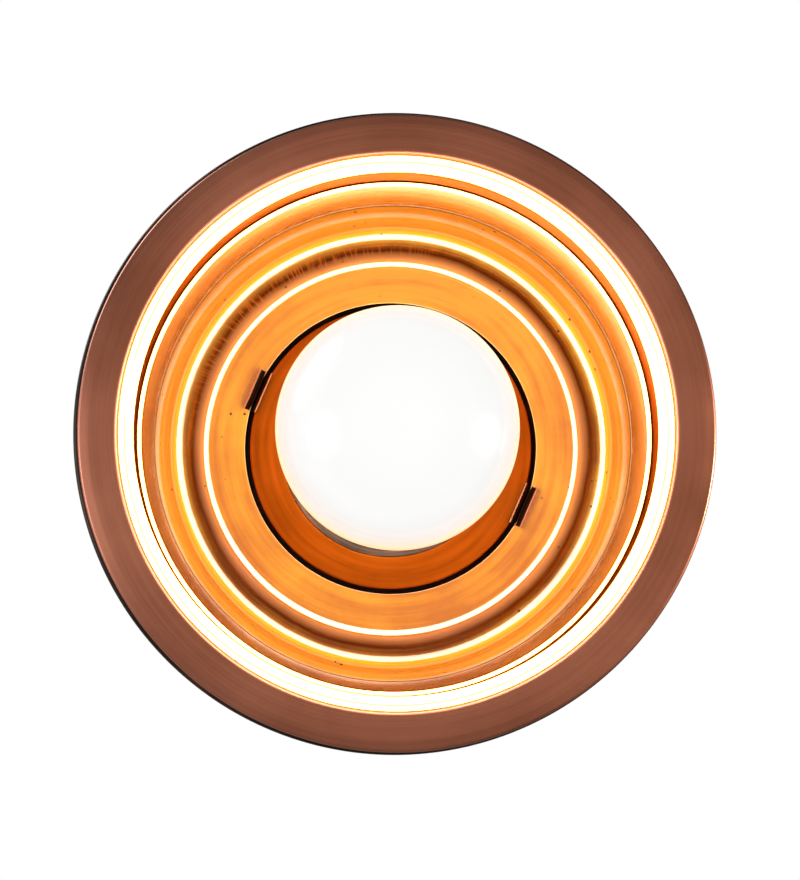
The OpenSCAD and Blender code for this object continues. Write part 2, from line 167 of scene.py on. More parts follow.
def polished_wall():
    """Polished spun copper: a lacquered cove, a bare red-gold lower wall and a slightly hazier upper wall, so each
    band mirrors the bulb and its neighbours in its own way."""
    made, tree, shader, place, colour, roughness = spun_copper(
        "polished_spun_copper", "#ffb84c", "#fbb145", "#f0a03a", (0.05, 0.1), 0.02, 0.15
    )
    bare = by_height(tree, place, [(9.5, 0), (10.5, 1), (30.5, 1), (31.5, 0)])
    deeper = add(tree, "ShaderNodeMix", {0: bare, 6: colour, 7: srgb("#fb8e22")}, data_type="RGBA").outputs[2]
    lacquer = add(tree, "ShaderNodeMath", {0: 1.0, 1: bare}, operation="SUBTRACT")
    haze = by_height(tree, place, [(34, 0), (37, 0.14), (57, 0.2)])
    rough = add(tree, "ShaderNodeMath", {0: roughness, 1: haze}, operation="ADD")
    feed(tree, shader, {"Base Color": deeper, "Roughness": rough, "Coat Weight": lacquer})
    feed(tree, shader, {"Coat Roughness": 0.08, "Coat IOR": 1.8})
    return made


def aged_copper():
    """Spun copper under old clear lacquer: orange where it is rubbed clean, with painted light that draws it lighter
    towards -Y and a painted sheen up the rounded corner; brown in the shallow channel, partly grime and partly painted
    shade of the hollow, with short scratches across the channel on one side and small dark specks. The lacquer gives
    pale rings of light. Rings and scratches are drawn about twice as coarse as real ones, so that they show."""
    made, tree, shader = material("aged_lacquered_copper")
    turned, radius, place = turned_coordinates(tree, every(0.4545), 1.5)
    rings = add(tree, "ShaderNodeTexNoise", {"Vector": turned, "Scale": 1.0, "Detail": 3.0, "Roughness": 0.7})
    broad, _, _ = turned_coordinates(tree, every(3.333), 1.2)
    bands = add(tree, "ShaderNodeTexNoise", {"Vector": broad, "Scale": 1.0, "Detail": 2.0})
    cloud = add(
        tree, "ShaderNodeTexNoise", {"Vector": place, "Scale": every(38.46), "Detail": 5.0, "Roughness": 0.6}
    )
    tone = add(tree, "ShaderNodeMix", {0: 0.5, 2: bands, 3: cloud}, data_type="FLOAT")
    split = add(tree, "ShaderNodeSeparateXYZ", {0: place})
    # painted light: the floor's copper is drawn lighter towards -Y, as if more light fell on that side; the rest of
    # its tone is random
    aged_and_lit_side = add(tree, "ShaderNodeMath", {0: split.outputs["Y"], 1: -0.9, 2: tone}, operation="MULTIPLY_ADD")
    wiped_and_lit_side = add(
        tree, "ShaderNodeValToRGB", {0: aged_and_lit_side},
        [(0.34, srgb("#b0720c")), (0.47, srgb("#c08a12")), (0.60, srgb("#d0a022"))],
    )
    wander = 0.8 * MM  # how far the edges of the brown grime and painted shade stray in and out
    drift = add(tree, "ShaderNodeMapRange", {"Value": cloud, **NOISE_SPAN, "To Min": -wander, "To Max": wander})
    edge = add(tree, "ShaderNodeMath", {0: radius, 1: drift}, operation="ADD")
    across = add(tree, "ShaderNodeMapRange", {"Value": edge, "From Min": 88 * MM, "From Max": 110 * MM})
    # brown, partly grime and partly painted shade of the hollow, grows from the ridge at 91 mm,
    # # is deepest in the channel at 97 mm and fades up the rounded corner at 103 mm
    channel = add(
        tree, "ShaderNodeValToRGB", {0: across},
        [(0.145, grey(0)), (0.218, grey(0.35)), (0.345, grey(0.8)), (0.427, grey(1)), (0.527, grey(0.85)),
         (0.618, grey(0.45)), (0.727, grey(0.0))],
    )
    # painted shade: the dark brown in the channel stands partly for grime and partly for the shade of the hollow; the
    # band below the seam is a dark joint
    lap = by_height(tree, place, [(58.2, 0.85), (59.2, 0)])
    dirt_and_shade = add(tree, "ShaderNodeMath", {0: channel, 1: lap}, operation="MAXIMUM")
    # painted sheen: the rounded corner from 102 to 105 mm is drawn lighter, where it faces the bulb's light
    corner_sheen = add(tree, "ShaderNodeValToRGB", {0: across}, [(0.636, grey(0)), (0.78, grey(0.85))])
    bright = add(tree, "ShaderNodeMix", {0: corner_sheen, 6: wiped_and_lit_side, 7: srgb("#f5b440")}, data_type="RGBA").outputs[2]
    soiled_and_shaded = add(tree, "ShaderNodeMix", {0: dirt_and_shade, 6: bright, 7: srgb("#4c1c02")}, data_type="RGBA").outputs[2]
    heading = add(tree, "ShaderNodeVectorMath", {0: place, 1: (-0.55, -0.83, 0)}, operation="DOT_PRODUCT")
    side = add(
        tree, "ShaderNodeMapRange", {"Value": heading.outputs["Value"], "From Min": 60 * MM, "From Max": 100 * MM}
    )
    hatch, _, _ = turned_coordinates(tree, every(11.11), 85.0)  # about 1.1 mm apart round the channel
    scratches = add(tree, "ShaderNodeTexNoise", {"Vector": hatch, "Scale": 1.0, "Detail": 2.0})
    lines = add(tree, "ShaderNodeValToRGB", {0: scratches}, [(0.50, grey(0)), (0.62, grey(0.65))])
    where = add(tree, "ShaderNodeMath", {0: lines, 1: side}, operation="MULTIPLY")
    scratched = add(tree, "ShaderNodeMath", {0: where, 1: dirt_and_shade}, operation="MULTIPLY")
    rubbed = add(tree, "ShaderNodeMix", {0: scratched, 6: soiled_and_shaded, 7: srgb("#a8621f")}, data_type="RGBA").outputs[2]
    marked = specked(tree, place, cloud, rubbed, 6.667, (0.08, 0.13), (0.50, 0.57))
    rough = add(tree, "ShaderNodeMapRange", {"Value": rings, **NOISE_SPAN, "To Min": 0.6, "To Max": 0.7})
    height = add(tree, "ShaderNodeMix", {0: 0.5, 2: rings, 3: bands}, data_type="FLOAT")
    bump = add(tree, "ShaderNodeBump", {"Strength": 0.35, "Distance": 0.05 * MM, "Height": height})
    lacquer = add(tree, "ShaderNodeMapRange", {"Value": dirt_and_shade, "To Min": 1.0, "To Max": 0.1})
    feed(tree, shader, {"Base Color": marked, "Roughness": rough, "Normal": bump, "Metallic": 1.0})
    feed(tree, shader, {"Coat Weight": lacquer, "Coat Roughness": 0.08, "Coat IOR": 1.9})
    return made


def lacquered_copper():
    """Brown lacquered copper sheet: a satin metal under a thin clear coat, with faint cloudy toning. Its turned
    marks are drawn 1.1 mm apart, coarser than real ones, so that they show."""
    made, tree, shader = material("lacquered_copper")
    turned, _, place = turned_coordinates(tree, every(1.111), 1.2)
    fine = add(tree, "ShaderNodeTexNoise", {"Vector": turned, "Scale": 1.0, "Detail": 3.0})
    cloud = add(tree, "ShaderNodeTexNoise", {"Vector": place, "Scale": every(66.67), "Detail": 4.0})
    tone = add(tree, "ShaderNodeMix", {0: 0.75, 2: fine, 3: cloud}, data_type="FLOAT")
    colour = add(
        tree, "ShaderNodeValToRGB", {0: tone},
        [(0.36, srgb("#9c6049")), (0.52, srgb("#b0705a")), (0.66, srgb("#bd7c64"))],
    )
    rough = add(tree, "ShaderNodeMapRange", {"Value": cloud, **NOISE_SPAN, "To Min": 0.36, "To Max": 0.5})
    bump = add(tree, "ShaderNodeBump", {"Strength": 0.12, "Distance": 0.04 * MM, "Height": fine})
    feed(tree, shader, {"Base Color": colour, "Roughness": rough, "Normal": bump, "Metallic": 1.0})
    feed(tree, shader, {"Coat Weight": 0.35, "Coat Roughness": 0.22})
    return made


def darkened_copper():
    """Copper blackened with a sulphur bath: dark brown to near black, rubbed a little brighter where it is handled.
    Its turned marks are drawn 0.8 mm apart, coarser than real ones, so that they show."""
    made, tree, shader = material("darkened_copper")
    turned, _, place = turned_coordinates(tree, every(0.8333), 1.4)
    fine = add(tree, "ShaderNodeTexNoise", {"Vector": turned, "Scale": 1.0, "Detail": 3.0})
    cloud = add(
        tree, "ShaderNodeTexNoise", {"Vector": place, "Scale": every(55.56), "Detail": 6.0, "Roughness": 0.65}
    )
    colour = add(
        tree, "ShaderNodeValToRGB", {0: cloud},
        [(0.35, srgb("#2a211e")), (0.55, srgb("#3c2d27")), (0.72, srgb("#6a4534"))],
    )
    rough = add(tree, "ShaderNodeMapRange", {"Value": fine, **NOISE_SPAN, "To Min": 0.32, "To Max": 0.5})
    bump = add(tree, "ShaderNodeBump", {"Strength": 0.25, "Distance": 0.05 * MM, "Height": fine})
    feed(tree, shader, {"Base Color": colour, "Roughness": rough, "Normal": bump, "Metallic": 0.9})
    return made


def opal_glass():
    """Flashed opal glass, lit from inside: white over the bulb's end, and warmer and dimmer towards the neck, a
    painted shade that makes the globe look round.
    """
    made, tree, shader = material("opal_glass")
    place = add(tree, "ShaderNodeTexCoord").outputs["Object"]
    split = add(tree, "ShaderNodeSeparateXYZ", {0: place})
    low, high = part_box("bulb_globe")
    along = add(tree, "ShaderNodeMapRange", {"Value": split.outputs["Z"], "From Min": low.z, "From Max": high.z})
    mottle = add(tree, "ShaderNodeTexNoise", {"Vector": place, "Scale": every(16.67), "Detail": 3.0})
    soft = add(tree, "ShaderNodeMapRange", {"Value": mottle, **NOISE_SPAN, "To Min": -0.015, "To Max": 0.015})
    shade = add(tree, "ShaderNodeMath", {0: along, 1: soft}, operation="ADD")
    # painted shade: the glow fades to warm, dimmer colours towards the neck, drawing the globe's rounded side
    glow = add(
        tree, "ShaderNodeValToRGB", {0: shade},
        [(0.0, srgb("#ffffff")), (0.16, srgb("#fcfcfb")), (0.28, srgb("#f4f2ee")), (0.36, srgb("#f6e8d0")),
         (0.47, srgb("#f6cf95")), (0.75, srgb("#efc184")), (1.0, srgb("#c98f56"))],
    )
    feed(tree, shader, {"Emission Color": glow, "Emission Strength": 0.97, "Base Color": srgb("#161514")})
    feed(tree, shader, {"Roughness": 0.18, "IOR": 1.5})
    return made


def plated_metal(name, bright, dull, low, high):
    """Small plated or plain metal parts: a cloudy grain over one metal colour. Real grain is far too fine to see, so
    it is drawn 2.4 mm apart."""
    made, tree, shader = material(name)
    place = add(tree, "ShaderNodeTexCoord").outputs["Object"]
    grain = add(
        tree, "ShaderNodeTexNoise", {"Vector": place, "Scale": every(2.381), "Detail": 4.0, "Roughness": 0.6}
    )
    colour = add(tree, "ShaderNodeValToRGB", {0: grain}, [(0.35, srgb(dull)), (0.62, srgb(bright))])
    rough = add(tree, "ShaderNodeMapRange", {"Value": grain, **NOISE_SPAN, "To Min": low, "To Max": high})
    bump = add(tree, "ShaderNodeBump", {"Strength": 0.15, "Distance": 0.03 * MM, "Height": grain})
    feed(tree, shader, {"Base Color": colour, "Roughness": rough, "Normal": bump, "Metallic": 1.0})
    return made


def folded_strip():
    """A folded copper strip: brown copper with a painted highlight on its front edges and painted shade that darkens
    it down into the fold. Its grain is drawn 2 mm apart, coarser than real, so that it shows."""
    made, tree, shader = material("folded_copper_strip")
    place = add(tree, "ShaderNodeTexCoord").outputs["Object"]
    grain = add(tree, "ShaderNodeTexNoise", {"Vector": place, "Scale": every(2.0), "Detail": 4.0, "Roughness": 0.6})
    split = add(tree, "ShaderNodeSeparateXYZ", {0: place})
    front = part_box("plate_clip_left")[0].z
    fold = {"From Min": front, "From Max": front + 6 * MM}
    depth = add(tree, "ShaderNodeMapRange", {"Value": split.outputs["Z"], **fold})
    # painted highlight and shade: pale at the front edges, then darker down into the fold to near black
    fold_shade_and_edge_light = add(
        tree, "ShaderNodeValToRGB", {0: depth},
        [(0.02, srgb("#c58568")), (0.07, srgb("#8a4a28")), (0.45, srgb("#4a2210")), (0.85, srgb("#1d0d06"))],
    )
    grained = {0: 0.25, 6: fold_shade_and_edge_light, 7: grain.outputs["Color"]}
    colour = add(tree, "ShaderNodeMix", grained, data_type="RGBA", blend_type="OVERLAY").outputs[2]
    rough = add(tree, "ShaderNodeMapRange", {"Value": grain, **NOISE_SPAN, "To Min": 0.34, "To Max": 0.46})
    bump = add(tree, "ShaderNodeBump", {"Strength": 0.15, "Distance": 0.03 * MM, "Height": grain})
    feed(tree, shader, {"Base Color": colour, "Roughness": rough, "Normal": bump, "Metallic": 1.0})
    return made


def moulded(name, pale, deep, ior, low, high, spacing):
    """Moulded or fired insulators: a skin texture, its spacing in mm, and slight toning. Real skins are finer than
    0.1 mm, so all are drawn coarser, to show."""
    made, tree, shader = material(name)
    place = add(tree, "ShaderNodeTexCoord").outputs["Object"]
    skin = add(tree, "ShaderNodeTexNoise", {"Vector": place, "Scale": every(spacing), "Detail": 3.0})
    colour = add(tree, "ShaderNodeValToRGB", {0: skin}, [(0.36, srgb(deep)), (0.64, srgb(pale))])
    rough = add(tree, "ShaderNodeMapRange", {"Value": skin, **NOISE_SPAN, "To Min": low, "To Max": high})
    bump = add(tree, "ShaderNodeBump", {"Strength": 0.1, "Distance": 0.04 * MM, "Height": skin})
    feed(tree, shader, {"Base Color": colour, "Roughness": rough, "Normal": bump, "IOR": ior})
    return made


POLISHED = polished_wall()
AGED = aged_copper()
SATIN = spun_copper("satin_spun_copper", "#96490f", "#874009", "#6c3206", (0.52, 0.62), 0.04, 0.3)[0]
FOLDED = folded_strip()
LACQUERED = lacquered_copper()
DARKENED = darkened_copper()
OPAL = opal_glass()
# cool grey, softly bright
ZINC = plated_metal("zinc_plated_steel", "#c9c6bd", "#a8a49a", 0.28, 0.42)
# yellow, brightly turned
BRASS = plated_metal("plain_brass", "#d8b55c", "#b8923f", 0.22, 0.36)
# reddish yellow, rolled
BRONZE = plated_metal("spring_bronze", "#cf9a62", "#a9743f", 0.25, 0.38)
# warm white and the shiniest of the small metals
NICKEL = plated_metal("nickelled_sheet", "#cfccc4", "#b0ada4", 0.2, 0.3)
# black with a soft moulded gloss
PHENOLIC = moulded("black_phenolic", "#24211f", "#171514", 1.6, 0.28, 0.4, 1.111)
# cream and matt, as fired
STEATITE = moulded("unglazed_steatite", "#efe9dc", "#e2dac9", 1.55, 0.5, 0.65, 1.429)
# clean white with a satin gloss
WHITE_PLASTIC = moulded("white_polycarbonate", "#f3f1ec", "#e9e6df", 1.58, 0.3, 0.42, 1.25)
# black and nearly mirror smooth
BLACK_GLASS = moulded("fused_black_glass", "#1b1a1f", "#0f0f12", 1.52, 0.08, 0.2, 3.333)
# printed green coat
SOLDER_MASK = moulded("green_solder_mask", "#3d8a4f", "#2c6b3c", 1.5, 0.3, 0.45, 0.8333)
# matt yellow gel
PHOSPHOR = moulded("yellow_phosphor", "#f6d858", "#e6bf38", 1.5, 0.5, 0.65, 0.6667)


# ---------------------------------------------------------------------------------------------------------------------
# Spun pieces: an outline of (radius, height above the mouth) in millimetres, turned round the lamp's axis
# ---------------------------------------------------------------------------------------------------------------------


FILLET_STEP = math.radians(9)  # the turn between two points on a fillet
LONG_RUN, HOLD_IN = 0.8, 0.15  # mm: a straight run longer than the first gets a point this far inside each end
ALMOST_SAME = 1e-6  # metres: points closer than this become one


def arc(centre, radius, start, end, steps):
    """Points on an arc, in degrees."""
    turn = [math.radians(start + (end - start) * i / steps) for i in range(steps + 1)]
    return [(centre[0] + radius * math.cos(a), centre[1] + radius * math.sin(a)) for a in turn]


def rounded(corners):
    """A line through (radius, height, fillet) corners, each fillet drawn as a short arc."""
    line = [Vector(corners[0][:2])]
    for before, corner, after in zip(corners, corners[1:], corners[2:]):
        here = Vector(corner[:2])
        arrive, leave = here - Vector(before[:2]), Vector(after[:2]) - here
        turn = abs(arrive.angle_signed(leave, 0.0))
        fillet = corner[2] if len(corner) > 2 else 0.0
        if fillet == 0 or turn < 0.02:
            line.append(here)
            continue
        room = 0.49 * min(arrive.length, leave.length)  # two fillets share a run without meeting
        reach = min(fillet * math.tan(turn / 2), room)
        start, end = here - arrive.normalized() * reach, here + leave.normalized() * reach
        steps = max(2, round(turn / FILLET_STEP))
        for i in range(steps + 1):
            f = i / steps
            line.append(start * (1 - f) ** 2 + here * 2 * f * (1 - f) + end * f**2)
    line.append(Vector(corners[-1][:2]))
    return line


def beside(line, distance):
    """The line moved to its left by a distance."""
    moved = []
    for i, point in enumerate(line):
        run = line[min(i + 1, len(line) - 1)] - line[max(i - 1, 0)]
        run.normalize()
        moved.append(point + Vector((-run.y, run.x)) * distance)
    return moved


def sheet_outline(face, thickness):
    """The closed outline of a sheet whose visible face follows a line, with softly rounded ends."""
    back = beside(face, thickness)
    bulge, shoulder = 0.25 * abs(thickness), 0.08 * abs(thickness)

    def end_cap(a, b, outwards):
        middle = (a + b) / 2 + outwards * bulge
        return [a.lerp(middle, 0.6) + outwards * shoulder, middle, b.lerp(middle, 0.6) + outwards * shoulder]

    far = (face[-1] - face[-2]).normalized()
    near = (face[0] - face[1]).normalized()
    loop = [*face, *end_cap(face[-1], back[-1], far), *reversed(back), *end_cap(back[0], face[0], near)]
    return [*loop, loop[0]]


def held(outline):
    """The outline with extra points just inside the ends of its straight runs, so flat faces stay flat when shaded."""
    line = [Vector(outline[0])]
    for start, end in zip(outline, outline[1:]):
        run = Vector(end) - Vector(start)
        if run.length > LONG_RUN:
            line += [Vector(start) + run.normalized() * HOLD_IN, Vector(end) - run.normalized() * HOLD_IN]
        line.append(Vector(end))
    return line


def spinning_tree():
    """Geometry Nodes that turn an outline round the Z axis, with an optional screw thread cut in marked points."""
    tree = bpy.data.node_groups.new("spun_piece", "GeometryNodeTree")
    tree.interface.new_socket("Outline", in_out="INPUT", socket_type="NodeSocketGeometry")
    for name, kind, start in (
        ("Segments", "NodeSocketInt", SEGMENTS),
        ("Thread Pitch", "NodeSocketFloat", 0.001),
        ("Thread Depth", "NodeSocketFloat", 0.0),
        ("Thread Sharpness", "NodeSocketFloat", 1.0),
    ):
        tree.interface.new_socket(name, in_out="INPUT", socket_type=kind).default_value = start
    tree.interface.new_socket("Finish", in_out="INPUT", socket_type="NodeSocketMaterial")
    tree.interface.new_socket("Piece", in_out="OUTPUT", socket_type="NodeSocketGeometry")
    given = add(tree, "NodeGroupInput").outputs
    outline = given["Outline"]
    size = add(tree, "GeometryNodeAttributeDomainSize", {"Geometry": outline}, component="MESH")
    rows = size.outputs["Point Count"]
    columns = add(tree, "ShaderNodeMath", {0: given["Segments"], 1: 1.0}, operation="ADD")
    grid = add(tree, "GeometryNodeMeshGrid", {"Vertices X": columns, "Vertices Y": rows})
    # each point of the grid takes its outline point from its row and its turn from its column
    index = add(tree, "GeometryNodeInputIndex")
    row = add(tree, "ShaderNodeMath", {0: index, 1: rows}, operation="FLOORED_MODULO")
    ratio = add(tree, "ShaderNodeMath", {0: index, 1: rows}, operation="DIVIDE")
    column = add(tree, "ShaderNodeMath", {0: ratio}, operation="FLOOR")
    share = add(tree, "ShaderNodeMath", {0: column, 1: given["Segments"]}, operation="DIVIDE")
    turn = add(tree, "ShaderNodeMath", {0: share, 1: math.tau}, operation="MULTIPLY")
    place = add(tree, "GeometryNodeInputPosition")
    sampled = {"Geometry": outline, "Value": place, "Index": row}
    point = add(tree, "GeometryNodeSampleIndex", sampled, data_type="FLOAT_VECTOR")
    threaded = add(tree, "GeometryNodeInputNamedAttribute", {"Name": "threaded"}, data_type="FLOAT")
    sampled = {"Geometry": outline, "Value": threaded, "Index": row}
    mask = add(tree, "GeometryNodeSampleIndex", sampled, data_type="FLOAT")
    split = add(tree, "ShaderNodeSeparateXYZ", {0: point}).outputs
    climb = add(tree, "ShaderNodeMath", {0: split["Z"], 1: given["Thread Pitch"]}, operation="DIVIDE")
    phase = add(tree, "ShaderNodeMath", {0: climb, 1: share}, operation="SUBTRACT")
    wave_turn = add(tree, "ShaderNodeMath", {0: phase, 1: math.tau}, operation="MULTIPLY")
    wave = add(tree, "ShaderNodeMath", {0: wave_turn}, operation="COSINE")
    half = add(tree, "ShaderNodeMath", {0: wave, 1: 0.5, 2: 0.5}, operation="MULTIPLY_ADD")
    flank = add(tree, "ShaderNodeMath", {0: half, 1: given["Thread Sharpness"]}, operation="POWER")
    cut = add(tree, "ShaderNodeMath", {0: flank, 1: given["Thread Depth"]}, operation="MULTIPLY")
    kept = add(tree, "ShaderNodeMath", {0: cut, 1: mask}, operation="MULTIPLY")
    radius = add(tree, "ShaderNodeMath", {0: split["X"], 1: kept}, operation="SUBTRACT")
    cosine = add(tree, "ShaderNodeMath", {0: turn}, operation="COSINE")
    sine = add(tree, "ShaderNodeMath", {0: turn}, operation="SINE")
    x = add(tree, "ShaderNodeMath", {0: radius, 1: cosine}, operation="MULTIPLY")
    y = add(tree, "ShaderNodeMath", {0: radius, 1: sine}, operation="MULTIPLY")
    turned = add(tree, "ShaderNodeCombineXYZ", {0: x, 1: y, 2: split["Z"]})
    shaped = add(tree, "GeometryNodeSetPosition", {"Geometry": grid, "Position": turned})
    merged = add(tree, "GeometryNodeMergeByDistance", {"Geometry": shaped, "Distance": ALMOST_SAME})
    smooth = add(tree, "GeometryNodeSetShadeSmooth", {"Geometry": merged})
    real = add(tree, "GeometryNodeRealizeInstances", {"Geometry": smooth})
    done = add(tree, "GeometryNodeSetMaterial", {"Geometry": real, "Material": given["Finish"]})
    add(tree, "NodeGroupOutput", {0: done})
    return tree


SPINNING = spinning_tree()


def plain_copy(worked, name):
    """The finished shape of an object with live modifiers, as a plain mesh object; the worked object is removed."""
    bpy.context.view_layer.update()
    graph = bpy.context.evaluated_depsgraph_get()
    mesh = bpy.data.meshes.new_from_object(worked.evaluated_get(graph))
    mesh.name = name
    old = worked.data
    bpy.data.objects.remove(worked)
    bpy.data.meshes.remove(old)
    made = bpy.data.objects.new(name, mesh)
    bpy.context.scene.collection.objects.link(made)
    return made


def outward(mesh):
    """Points every face outwards."""
    shape = bmesh.new()
    shape.from_mesh(mesh)
    bmesh.ops.remove_doubles(shape, verts=shape.verts, dist=ALMOST_SAME)
    bmesh.ops.dissolve_degenerate(shape, dist=ALMOST_SAME / 10, edges=shape.edges)
    bmesh.ops.recalc_face_normals(shape, faces=shape.faces)
    shape.to_mesh(mesh)
    shape.free()


def spun(name, outlines, finish, body, node, thread=None, segments=SEGMENTS, shift=0.0):
    """A piece spun from closed outlines. thread is (pitch, depth, sharpness, lowest height, highest height) and
    shift moves the piece along X, all in mm but the sharpness."""
    sockets = {s.name: s.identifier for s in SPINNING.interface.items_tree if s.in_out == "INPUT"}
    parts = []
    for outline in map(held, outlines):
        mesh = bpy.data.meshes.new(name + "_outline")
        points = [(r * MM, 0.0, MOUTH_Z + h * MM) for r, h in outline]
        mesh.from_pydata(points, [(i, i + 1) for i in range(len(points) - 1)], [])
        masks = [0.0] * len(points)
        if thread:
            low, high = thread[3:]
            widest = max(r for r, h in outline)
            masks = [float(low <= h <= high and r > widest - 0.001) for r, h in outline]
        mesh.attributes.new("threaded", "FLOAT", "POINT").data.foreach_set("value", masks)
        worked = bpy.data.objects.new(name + "_work", mesh)
        bpy.context.scene.collection.objects.link(worked)
        modifier = worked.modifiers.new("spin", "NODES")
        modifier.node_group = SPINNING
        modifier[sockets["Segments"]] = segments
        modifier[sockets["Finish"]] = finish
        if thread:
            modifier[sockets["Thread Pitch"]] = thread[0] * MM
            modifier[sockets["Thread Depth"]] = thread[1] * MM
            modifier[sockets["Thread Sharpness"]] = thread[2]
        parts.append(plain_copy(worked, name))
    made = parts[0]
    if len(parts) > 1:
        shape = bmesh.new()
        for part in parts:
            shape.from_mesh(part.data)
        shape.to_mesh(made.data)
        shape.free()
        for part in parts[1:]:
            bpy.data.objects.remove(part)
    made.name = name
    made.data.transform(Matrix.Translation((shift * MM, 0, 0)))
    outward(made.data)
    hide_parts(node)
    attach(made, body)
    return made


# Sizes of the spun copper, in millimetres, as the part has them; heights are above the mouth
MOUTH_R, LIP_W, SHEET, THIN = 113.4, 16.4, 1.0, 0.8
LIP_R = MOUTH_R + LIP_W
LIP_TURN_UP = 2.5  # how far both edges of the lip are turned up
LIP_CROWN_R = 12  # the soft fillets that give the lip its low crown
BEAD_R = 2.0
BEAD = (LIP_R - 0.6, BEAD_R + 3)
SHADE_SHIFT = -0.8  # the shade sits a little off the lip's axis, so its bead shows along one side
CROWN_H = (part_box("outer_shade")[1].z - MOUTH_Z) / MM
SHOULDER_R = 46.0
SHOULDER = (73.0, CROWN_H - SHOULDER_R - 4)
WALL_FOOT_R = LIP_R - 5.2
FLOOR_H, SEAM_H, STEP_H = 91.2, 56.6, 32.4
WALL_R, UPPER_WALL_R, WALL_TAPER = 111.3, 109.0, 0.9
STEP_HALF_H = 0.7  # the wall's step slopes over twice this height
LAP_L, LAP_GAP = 5, 0.35  # the dish's skirt laps over the wall's head
COVE_W, CREASE_W, FLANGE_H = 5.4, 0.35, 2.7
CORNER_R, CHANNEL_R, CHANNEL_DEPTH, RIDGE_R = 9.0, 97.7, 1.85, 91.3
DISH_HOLE_R = 71.2
PLATE_R, PLATE_HOLE_R, PLATE_RIM, PLATE_HOLE_RIM = 68.6, 52.8, 2.2, 1.8
PLATE_H = FLOOR_H - 0.8


def outer_shade():
    """A rolled bead at the mouth, an upright side, a round shoulder and an almost flat crown."""
    shoulder = arc(SHOULDER, SHOULDER_R, 0, 74, 30)
    line = [Vector(p) for p in arc(BEAD, BEAD_R, -200, 90, 36)]
    foot = rounded([(BEAD[0] - 0.6, BEAD[1] + BEAD_R), (WALL_FOOT_R, BEAD[1] + BEAD_R, 2.5), shoulder[0]])
    crown = rounded([shoulder[-1], (26, CROWN_H, 30), (6.0, CROWN_H)])
    line += foot[:-1] + [Vector(p) for p in shoulder] + crown[1:]
    outlines = [sheet_outline(line, SHEET)]
    spun("dark_shade", outlines, DARKENED, "shade", "outer_shade", shift=SHADE_SHIFT)


def rim_ring():
    """A broad lip with a low crown and turned-up edges, and a hidden upstand that fits inside the shade."""
    face = rounded([
        (MOUTH_R, LIP_TURN_UP), (MOUTH_R, 0.9, 0.6), (MOUTH_R + 0.9, 0.25, 1.5),
        (MOUTH_R + LIP_W * 0.3, 0, LIP_CROWN_R), (MOUTH_R + LIP_W * 0.7, 0.3, LIP_CROWN_R),
        (LIP_R - 0.7, 1.2, 1.6), (LIP_R, LIP_TURN_UP),
    ])
    upstand_r = WALL_FOOT_R - SHEET + SHADE_SHIFT - 0.1
    upstand = rounded([(upstand_r, SHEET), (upstand_r, BEAD[1] + 5)])
    outlines = [sheet_outline(face, SHEET), sheet_outline(upstand, SHEET)]
    spun("brown_lip", outlines, LACQUERED, "shade", "rim_ring")


def reflector_wall():
    """A polished cove with a fine crease behind the lip, then an upright wall that steps in half-way."""
    foot_r = MOUTH_R - 0.3
    head_r, head_h = foot_r - COVE_W, FLANGE_H + COVE_W * 1.05
    crease_r, crease_h = foot_r - COVE_W * 0.36, FLANGE_H + COVE_W * 0.34
    face = rounded([
        (MOUTH_R + 5.6, FLANGE_H), (foot_r, FLANGE_H, 0.6), (crease_r, crease_h, 0.12),
        (crease_r - CREASE_W, crease_h, 0.12), (head_r, head_h, 0.8), (head_r + 1.0, head_h + 1.2, 1.5),
        (WALL_R, head_h + 3.4, 2), (WALL_R, STEP_H - STEP_HALF_H, 0.3),
        (UPPER_WALL_R + WALL_TAPER, STEP_H + STEP_HALF_H, 0.3),
        (UPPER_WALL_R, SEAM_H),
    ])
    spun("copper_wall", [sheet_outline(face, -THIN)], POLISHED, "shade", "reflector_wall")


def reflector_dish():
    """Laps over the wall, curves over into a shallow channel, and ends in a low ridge beside the flat floor."""
    lap_r = UPPER_WALL_R + THIN + LAP_GAP
    channel_h = FLOOR_H + 0.7
    ridge_h = channel_h - CHANNEL_DEPTH
    corner = [Vector(p) for p in arc((CHANNEL_R + 1.4, channel_h - CORNER_R), CORNER_R, 6, 90, 16)]
    lap = rounded([
        (lap_r, SEAM_H - LAP_L), (lap_r, SEAM_H + 0.3, 0.3), (UPPER_WALL_R - 0.2, SEAM_H + 1.4, 0.8), corner[0],
    ])
    floor = rounded([
        corner[-1], (CHANNEL_R - 1.3, channel_h, 3.0), (RIDGE_R + 0.6, ridge_h + 0.15, 0.5), (RIDGE_R, ridge_h, 0.4),
        (RIDGE_R - 0.4, ridge_h + 0.1, 0.4), (RIDGE_R - 2.2, FLOOR_H - 0.15, 0.4), (RIDGE_R - 2.8, FLOOR_H, 0.4),
        (DISH_HOLE_R, FLOOR_H),
    ])
    face = lap[:-1] + corner + floor[1:]
    spun("copper_dish", [sheet_outline(face, -THIN)], AGED, "shade", "reflector_dish")


def gallery_plate():
    """A flat ring with both edges turned up."""
    face = rounded([
        (PLATE_R, PLATE_H + PLATE_RIM), (PLATE_R, PLATE_H, 0.9), (PLATE_HOLE_R, PLATE_H, 0.8),
        (PLATE_HOLE_R, PLATE_H + PLATE_HOLE_RIM),
    ])
    spun("round_plate", [sheet_outline(face, -SHEET)], SATIN, "plate", "gallery_plate")


# ---------------------------------------------------------------------------------------------------------------------
# Clips: a strip folded through the gap between plate and dish
# ---------------------------------------------------------------------------------------------------------------------

CLIP_L, CLIP_W, CLIP_SHEET, CLIP_RISE = 20.5, 6.2, 0.6, 5.4
CLIP_R = (PLATE_R + DISH_HOLE_R) / 2 - 0.15
CLIP_ANGLE = 23.4  # degrees round the plate
CLIP_GAP, WAIST_IN, WAIST_L, CLIP_BACK = 0.3, 0.25, 13.0, 4.6
CLIP_EDGE, CLIP_COLUMNS = 0.12, 9


